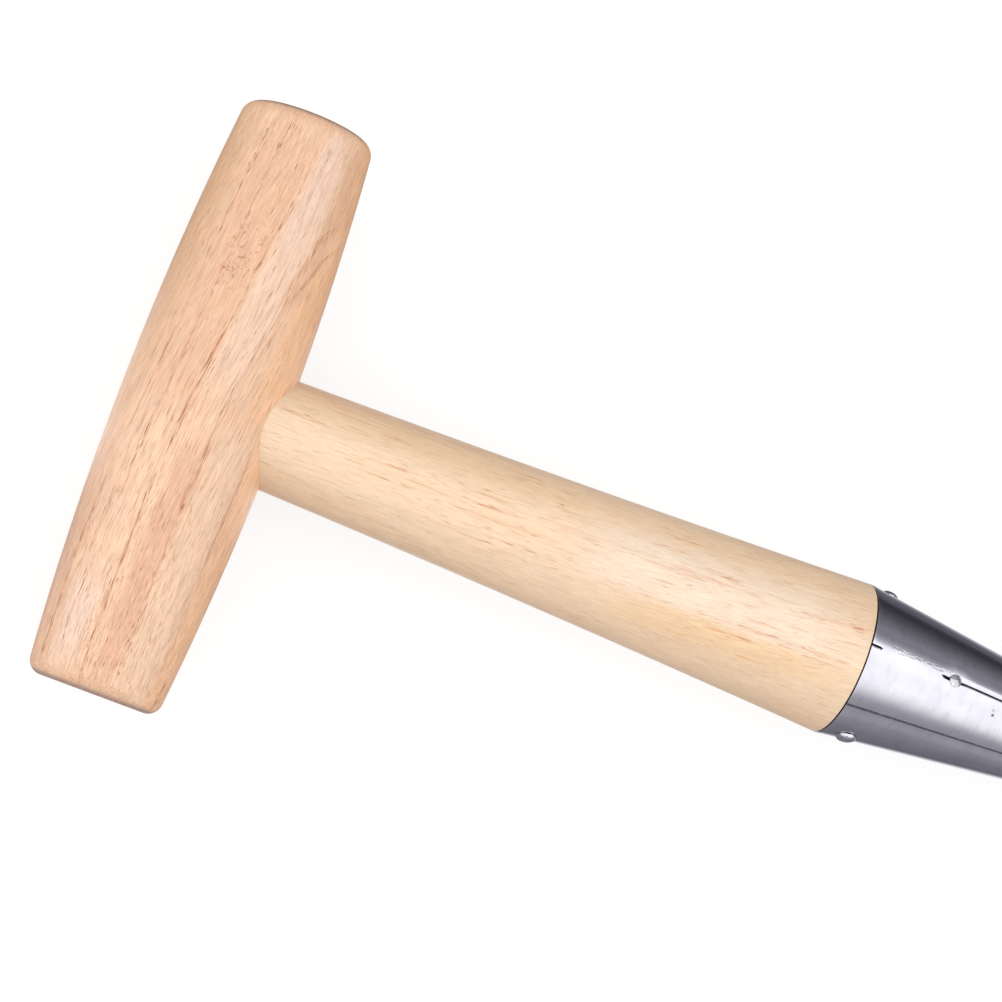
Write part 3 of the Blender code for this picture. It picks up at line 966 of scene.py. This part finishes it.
def wood_finish(name, parts, axis, drift_points, drawn, tones, depths, hairiness, ends=None,
                hidden_from=None):
    """A turned wood: ground, bands, fibres, drawn streaks, pores and end grain."""
    finish, tree, shader = new_finish(name)
    streaks, bands, fleck_area = drawn
    placed, length, angle, _ = turned_space(tree, GRIP_CENTRE, *parts)
    drift = drawn_curve(length, drift_points, drift_points[0][0], drift_points[-1][0],
                        -DRIFT_SPAN, DRIFT_SPAN)
    grain = follow_grain(placed, axis, drift)
    found = {}
    for kind, (long_share, shift, *shape) in WOOD_NOISES.items():
        sizes = tuple(long_share if part == parts[0] else 1.0 for part in "XYZ")
        found[kind] = noise(stretch(grain, sizes, (shift,) * 3), *shape)

    wavy = plus(angle, times(minus(found["fleck"], 0.5), STREAK_WAVER))
    colour = mixed(step(found["broad"], 0.30, 0.70), tones["pale"], tones["deep"])
    for tone, *drawing in bands:
        colour = mixed(drawn_area(length, wavy, *drawing), colour, tone)
    for kind, (low, high, share) in SHADINGS.items():
        swing = depths["fibre"] * share
        shading = step(found[kind], low, high, 1.0 + swing, 1.0 - swing)
        colour = lay("ShaderNodeVectorMath", colour, operation="SCALE",
                     named={"Scale": shading}).outputs[0]

    cores, halos = drawn_streaks(length, wavy, streaks)
    broken = times(cores, *(step(found[kind], *level, STREAK_IN_GAP, 1.0)
                            for kind, level in STREAK_GAPS.items()))
    beside = calc("MULTIPLY_ADD", halos, BESIDE_STREAK, step(length, *hairiness))
    hairs = times(step(found["hair"], *HAIR_LEVEL), beside)
    # Pale hairs beside the streaks are painted highlights.
    glints = times(step(found["hair"], *GLINT_LEVEL), beside)
    shade = most(times(broken, depths["line"]),
                 times(step(found["fibre"], *STRAY_LEVEL), depths["stray"]),
                 times(halos, depths["line"] * HALO_SHARE),
                 times(hairs, depths["line"] * HAIR_SHARE))
    colour = mixed(times(glints, GLINT_DEPTH), colour, tones["painted_highlight"])
    colour = mixed(shade, colour, tones["line"])

    crowd = calc("MULTIPLY_ADD", halos, CROWD_BY_STREAK, times(found["patches"], CROWD_BY_PATCH))
    # The offset copy of the pores is painted lighter beside each pore: a painted highlight.
    in_pore, by_pore = (step(plus(found[kind], crowd), *PORE_LEVEL) for kind in ("pores", "pore_highlights"))
    pore_highlight = calc("SUBTRACT", by_pore, in_pore, use_clamp=True)
    colour = mixed(times(pore_highlight, depths["pore"] * PORE_HIGHLIGHT_SHARE), colour, tones["painted_highlight"])
    colour = mixed(times(in_pore, depths["pore"]), colour, tones["pore"])
    if fleck_area:
        flecks = step(noise(placed, 0.95, 3.0, 0.6, 0.8), 0.54, 0.64)
        flecks = times(flecks, drawn_area(length, angle, *fleck_area))
        colour = mixed(times(flecks, FLECK_DEPTH), colour, tones["line"])
    if ends:
        from_heart = measured("LENGTH", stretch(placed, END_GRAIN_FLAT, HEART))
        rings = plus(times(from_heart, RING_PACE), times(found["mottle"], RING_WAVER))
        rings = step(calc("SINE", rings), -0.2, 1.0, 0.0, 0.5)
        open_pores = step(noise(placed, 3.2, 1.0), 0.66, 0.74, 0.0, 0.6)
        # The end grain is painted darker and greyer: partly the wood's own open tone, partly
        # painted shade.
        sawn_end_and_shade = mixed(most(rings, open_pores), tones["end_grain_and_shade"], tones["line"])
        speckle = step(noise(placed, 2.2, 2.0), 0.35, 0.65, 0.75, 1.0)
        cut = step(calc("ABSOLUTE", length), *(ends - before for before in END_GRAIN_FADE))
        colour = mixed(times(cut, speckle), colour, sawn_end_and_shade)
    # Painted shade: the stem is darkened where it goes into the steel, as no light gets there.
    if hidden_from:
        colour = mixed(step(length, hidden_from - RIM_SHADE, hidden_from), colour, PAINTED_RIM_SHADE)

    open_grain = times(most(in_pore, shade), 0.5)
    sanded = calc("MULTIPLY_ADD", found["fibre"], 0.14, 0.37)
    height = minus(times(found["fibre"], 0.6), in_pore)
    feed(shader, {
        "Base Color": colour,
        "Roughness": plus(sanded, open_grain),
        "Specular IOR Level": 0.9,
        "Coat Weight": 0.35,
        "Coat Roughness": 0.42,
        "Normal": bumped(height, 0.03 * MM, 0.4),
    })
    return finish


crossbar_wood = wood_finish(
    "sanded_pink_hardwood", ("Y", "X", "Z"), (0.0, 1.0, 0.0), GRIP_DRIFT,
    (GRIP_STREAKS, GRIP_BANDS, GRIP_FLECKS),
    {"pale": paint(231, 189, 154), "deep": paint(222, 177, 141), "line": paint(174, 92, 44),
     "pore": paint(146, 72, 36), "painted_highlight": paint(246, 214, 184), "end_grain_and_shade": paint(160, 136, 122)},
    {"fibre": 0.06, "line": 0.63, "pore": 0.66, "stray": 0.24},
    (-20.0, 15.0, 0.85, 0.60), ends=GRIP_LENGTH / 2 / MM)
stem_wood = wood_finish(
    "sanded_pale_hardwood", ("X", "Y", "Z"), (-1.0, 0.0, 0.0), STEM_DRIFT,
    (STEM_STREAKS, STEM_BANDS, None),
    {"pale": paint(237, 206, 173), "deep": paint(232, 198, 162), "line": paint(208, 134, 74),
     "pore": paint(180, 112, 62), "painted_highlight": paint(245, 226, 204)},
    {"fibre": 0.035, "line": 0.75, "pore": 0.5, "stray": 0.34},
    (0.0, 140.0, 0.45, 0.38), hidden_from=stem_length / MM)
print("wood finishes:", len(crossbar_wood.node_tree.nodes), "and",
      len(stem_wood.node_tree.nodes), "nodes")

# %% [markdown]
# ## Steel
#
# The point is bright cold rolled sheet. It reflects like a soft mirror, so most of what one sees
# in it is the room. The finish adds what is on the metal itself: a very slight blue, fine rubbing
# marks round the cone, a few specks, two small dark marks beside the open seam and hammer ripples
# beside the shut seam. It also darkens a thin line along the crease, which is painted shade. The
# nails are drawn wire, a little smoother and warmer.

# %% Steel finishes
STEEL_LIGHT = paint(198, 197, 203)
STEEL_DULL = paint(190, 189, 196)
STEEL_WIPED = paint(186, 185, 193)
STEEL_SPECK = paint(118, 116, 120)
# Dark colour of the two small marks, and of the painted shade along the crease.
STEEL_DARK_MARK_AND_SHADE = paint(80, 78, 88)
NAIL_LIGHT = paint(208, 207, 210)
NAIL_DULL = paint(178, 177, 181)
RIPPLES = ([(3, 15), (10, 15.2), (17, 15.4), (21, 15.5)], 2.6, 2, 3, 1)
RIPPLE_HEIGHT = 0.085 * MM
SHEET_MARKS = ((29.8 * MM, -4.1, 0.45, 0.9), (29.6 * MM, 0.2, 0.40, 0.4))
# Where the painted shade along the crease fades out, and how dark it gets.
CREASE_SHADE_HALF_WIDTHS = (0.65, 1.50)
CREASE_SHADE_DEPTH = 0.8


def steel_finish():
    """Bright sheet with rubbing marks, ripples, specks, marks and painted shade in its crease."""
    finish, tree, shader = new_finish("bright_rolled_sheet")
    placed, length, angle, reach = turned_space(tree, RIM_CENTRE, "X", "Y", "Z")
    cloudy = noise(placed, 0.22, 3.0)
    rubbed = noise(stretch(placed, (3.2, 0.35, 0.35)), 1.0, 3.0, 0.6)
    wiped = noise(stretch(placed, (0.7, 0.28, 0.28), (5.0, 5.0, 5.0)), 1.0, 2.0)
    specks = noise(placed, 2.3, 1.0)
    hammered = noise(stretch(placed, (1.0, 1.6, 1.6)), 1.3, 2.0)
    # Painted shade: a thin dark line along the crease, broken up by the speck noise.
    crease_shade = times(step(calc("ABSOLUTE", minus(angle, CREASE_TURN)), *CREASE_SHADE_HALF_WIDTHS, 1.0, 0.0),
                 step(specks, 0.30, 0.42, 0.45, 1.0), step(reach, 1.0, 3.0))
    metal = mixed(step(cloudy, 0.35, 0.70), STEEL_LIGHT, STEEL_DULL)
    metal = mixed(step(wiped, 0.50, 0.75, 0.0, 0.8), metal, STEEL_WIPED)
    metal = mixed(step(specks, 0.76, 0.80, 0.0, 0.6), metal, STEEL_SPECK)
    metal = mixed(times(crease_shade, CREASE_SHADE_DEPTH), metal, STEEL_DARK_MARK_AND_SHADE)
    for setback, turn, size, depth in SHEET_MARKS:
        middle = (on_axis(setback, cone_radius(setback), turn) - RIM_CENTRE) / MM
        mark = step(measured("DISTANCE", placed, middle), size * 0.4, size, depth, 0.0)
        metal = mixed(mark, metal, STEEL_DARK_MARK_AND_SHADE)
    fine = bumped(plus(times(cloudy, 0.3), rubbed), 0.010 * MM, 0.35)
    ripple = times(minus(hammered, 0.5), drawn_area(length, angle, *RIPPLES))
    feed(shader, {
        "Base Color": metal,
        "Metallic": 1.0,
        "Roughness": plus(calc("MULTIPLY_ADD", cloudy, 0.05, 0.075), times(rubbed, 0.05)),
        "Normal": bumped(ripple, RIPPLE_HEIGHT, 1.0, Normal=fine),
    })
    return finish


def nail_finish():
    """Drawn wire: smooth, with the unevenness that the hammer left."""
    finish, tree, shader = new_finish("bright_nail_wire")
    coords = tree.nodes.new("ShaderNodeTexCoord").outputs["Object"]
    beaten = noise(stretch(coords, (1 / MM,) * 3), 0.9, 2.0)
    feed(shader, {
        "Base Color": mixed(step(beaten, 0.35, 0.65), NAIL_LIGHT, NAIL_DULL),
        "Metallic": 1.0,
        "Roughness": step(beaten, 0.3, 0.7, 0.18, 0.32),
        "Normal": bumped(beaten, 0.35 * MM, 0.9),
    })
    return finish


def dress(piece, finish):
    """Gives a piece one finish all over."""
    piece.data.materials.clear()
    piece.data.materials.append(finish)


rolled_steel = steel_finish()
nail_wire = nail_finish()
dress(crossbar, crossbar_wood)
dress(stem, stem_wood)
dress(steel, rolled_steel)
for nail in nails.values():
    dress(nail, nail_wire)

# %% [markdown]
# ## Floor and room
#
# The tool lies on a plain white floor in a plain white room. The floor keeps the tool's soft
# shadow. The room's light is weaker from the tool's two sides than from above and from its ends,
# which rounds off the stem. What the camera sees of floor and room is lifted to white with Light
# Path, so the light can stay at a level at which a colour renders about as it is written.

# %% Floor and room
FLOOR_HALF = 15.0
FLOOR_PAPER = (0.60, 0.60, 0.60, 1.0)
SEEN_PAPER = (0.28, 0.28, 0.28, 1.0)
SEEN_LIFT_FROM, SEEN_LIFT_TO = 0.25, 1.0
SEEN_LIFT_NEAR, SEEN_LIFT_FAR = 0.77, 1.0
ROOM_FILL = 1.20
SIDE_WALL_SHARE = 0.50


def seen_share(tree):
    """1 for rays that show the background itself: from the camera, off metal or through glass."""
    rays = tree.nodes.new("ShaderNodeLightPath").outputs
    return most(rays["Is Camera Ray"], rays["Is Glossy Ray"], rays["Is Transmission Ray"])


def floor_finish():
    """Matt white paper, lifted to white where it is seen and not in the tool's shadow."""
    finish, tree, mix = new_finish("white_floor_paper", "ShaderNodeMixShader")
    paper, seen = (tree.nodes.new("ShaderNodeBsdfDiffuse") for _ in range(2))
    feed(paper, {"Color": FLOOR_PAPER})
    feed(seen, {"Color": SEEN_PAPER})
    away = measured("LENGTH", tree.nodes.new("ShaderNodeTexCoord").outputs["Object"])
    lift = lay("ShaderNodeEmission", WHITE, step(away, SEEN_LIFT_FROM, SEEN_LIFT_TO,
                                                 SEEN_LIFT_NEAR, SEEN_LIFT_FAR))
    both = lay("ShaderNodeAddShader", seen.outputs[0], lift.outputs[0])
    for socket, value in zip(mix.inputs, (seen_share(tree), paper.outputs[0], both.outputs[0])):
        join(value, socket)
    return finish


bpy.ops.object.select_all(action="DESELECT")
bpy.ops.mesh.primitive_plane_add(size=2 * FLOOR_HALF, location=(0.0, 0.0, 0.0))
floor = bpy.context.object
floor.name = "floor"
dress(floor, floor_finish())

room = bpy.data.worlds.new("white_room")
bpy.context.scene.world = room
room.use_nodes = True
air = room.node_tree
air.nodes.clear()
facing = lay("ShaderNodeSeparateXYZ", air.nodes.new("ShaderNodeTexCoord").outputs["Generated"])
sideways = times(facing.outputs["Y"], facing.outputs["Y"])
fill = lay("ShaderNodeBackground", WHITE, step(sideways, 0.0, 1.0, ROOM_FILL,
                                               ROOM_FILL * SIDE_WALL_SHARE, kind="LINEAR"))
white = air.nodes.new("ShaderNodeBackground")
feed(white, {"Color": WHITE, "Strength": 1.0})
walls = lay("ShaderNodeMixShader", seen_share(air), fill.outputs[0], white.outputs[0])
lay("ShaderNodeOutputWorld", walls.outputs[0])

# %% [markdown]
# ## Lamps
#
# Two large soft lamps stand low at the tool's two ends. They face the crossbar's long sides, which
# keeps the barrel light nearly to its edges, and they only graze the stem, whose sides fall off
# into soft shade. Neither is seen in the metal, which has reflecting cards of its own.

# %% Soft lamps
LAMP_SIZE = 1.1
LAMPS = {
    "lamp_by_crossbar": (Vector((-1.20, -0.10, 0.36)), 4.0),
    "lamp_by_point": (Vector((1.20, -0.05, 0.36)), 2.5),
}

for name, (place, power) in LAMPS.items():
    lamp_data = bpy.data.lights.new(name, "AREA")
    lamp_data.shape = "SQUARE"
    lamp_data.size = LAMP_SIZE
    lamp_data.energy = power
    lamp = bpy.data.objects.new(name, lamp_data)
    lamp.location = place
    lamp.rotation_euler = (-place).to_track_quat("-Z", "Y").to_euler()
    lamp.visible_glossy = False
    lamp.visible_camera = False
    bpy.context.scene.collection.objects.link(lamp)

# %% [markdown]
# ## Reflecting cards round the tool
#
# Polished metal shows whatever stands round it, so a studio surrounds it with cards. A long
# trough of card runs along the tool: bright overhead with a hard edge on the far side, darkest
# low on that side, and mid grey on the near side. Two flat strips carry it on over the floor, and
# a disc closes each end, bright behind the crossbar and dim beyond the point. Only the reflections
# see the cards. They cast no light or shadow on anything.

# %% Cards
CARD_RADIUS = 0.45
CARD_HALF_LENGTH = 1.2
CARD_STEPS = 120
STRIP_START = 0.009
STRIP_HEIGHT = 0.0004
CARD_LIGHT = [
    (-180, 1.4), (-160, 1.4), (-145, 1.3), (-137, 1.05), (-131, 0.85), (-126.5, 0.46),
    (-122, 0.22), (-115, 0.27), (-108, 0.295), (-100, 0.37), (-94, 0.42), (-88, 0.51),
    (-81, 0.52), (-70, 0.46), (-58, 0.51), (-49, 0.71), (-41, 1.07), (-32, 1.45), (-24, 1.64),
    (-14, 1.72), (0, 1.68), (12, 1.74), (20, 1.84), (30, 1.86), (34.5, 1.72), (38, 1.04),
    (41.5, 0.72), (46, 0.5), (52, 0.36), (60, 0.35), (69, 0.275), (78, 0.215), (87, 0.15),
    (94, 0.105), (99, 0.064), (103, 0.062), (107, 0.12), (111, 0.17), (115, 0.18),
    (118.5, 0.26), (122, 0.41), (125, 0.56), (130, 0.72), (150, 0.82), (180, 0.82),
]
CARD_BRIGHTEST = 2.0
END_CARD_REACH = (1150.0, 1180.0)
END_GLOW_GRIP = 1.8
END_GLOW_POINT = 0.10
CARD_SHADE = (0.955, 0.935, 1.07, 1.0)
CARD_WHITE = (1.0, 0.995, 1.005, 1.0)


def card_finish():
    """Light that depends only on the angle round the tool's long axis, bluish where it is dim."""
    finish, tree, glow = new_finish("graded_card", "ShaderNodeEmission")
    _, length, angle, _ = turned_space(tree, RIM_CENTRE, "X", "Y", "Z")
    level = drawn_curve(angle, CARD_LIGHT, -180.0, 180.0, 0.0, CARD_BRIGHTEST)
    at_end = step(calc("ABSOLUTE", length), *END_CARD_REACH)
    end_glow = step(length, -10.0, 10.0, END_GLOW_GRIP, END_GLOW_POINT)
    trough = times(level, minus(1.0, at_end))
    feed(glow, {"Color": mixed(step(level, 0.1, 1.2), CARD_SHADE, CARD_WHITE),
                "Strength": calc("MULTIPLY_ADD", at_end, end_glow, trough)})
    return finish


def set_card(name):
    """Makes the shape just added a card, seen only in reflections."""
    settle()
    card = bpy.context.object
    card.name = name
    dress(card, graded_card)
    card.visible_camera = False
    card.visible_diffuse = False
    card.visible_transmission = False
    card.visible_shadow = False


graded_card = card_finish()
bpy.ops.object.select_all(action="DESELECT")
bpy.ops.mesh.primitive_cylinder_add(
    vertices=CARD_STEPS, radius=CARD_RADIUS, depth=2 * CARD_HALF_LENGTH, end_fill_type="NOTHING",
    location=(0.0, 0.0, AXIS_HEIGHT), rotation=FACING_X)
open_mesh(bpy.context.object)
bpy.ops.mesh.bisect(plane_co=(0.0, 0.0, STRIP_HEIGHT), plane_no=UP, clear_inner=True)
close_mesh()
set_card("card_trough")
for name, side in (("card_strip_far", 1.0), ("card_strip_near", -1.0)):
    bpy.ops.object.select_all(action="DESELECT")
    bpy.ops.mesh.primitive_plane_add(
        size=1.0, location=(0.0, side * (STRIP_START + CARD_RADIUS) / 2, STRIP_HEIGHT))
    bpy.context.object.scale = (2 * CARD_HALF_LENGTH, CARD_RADIUS - STRIP_START, 1.0)
    set_card(name)
for name, side in (("card_end_point", 1.0), ("card_end_grip", -1.0)):
    bpy.ops.object.select_all(action="DESELECT")
    bpy.ops.mesh.primitive_circle_add(
        vertices=CARD_STEPS, radius=CARD_RADIUS, fill_type="NGON",
        location=(side * CARD_HALF_LENGTH, 0.0, AXIS_HEIGHT), rotation=FACING_X)
    set_card(name)

# %% [markdown]
# ## Handing the pieces to the model
#
# Every piece rides on the tool's one body and takes the place of its plain solid, which is hidden.

# %% Pieces
bpy.context.scene.view_settings.view_transform = "Standard"

HAND_OVER = [
    (crossbar, "crossbar", "crossbar_wood"),
    (stem, "shaft", "stem_wood"),
    (steel, "steel_cone", "brushed_steel"),
    (nails["seam_nail"], "seam_nail", "nail_steel"),
    (nails["rim_nail_left"], "rim_nail_left", "nail_steel"),
    (nails["rim_nail_right"], "rim_nail_right", "nail_steel"),
]
for piece, node, slot in HAND_OVER:
    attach(piece, "root")
    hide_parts(node)
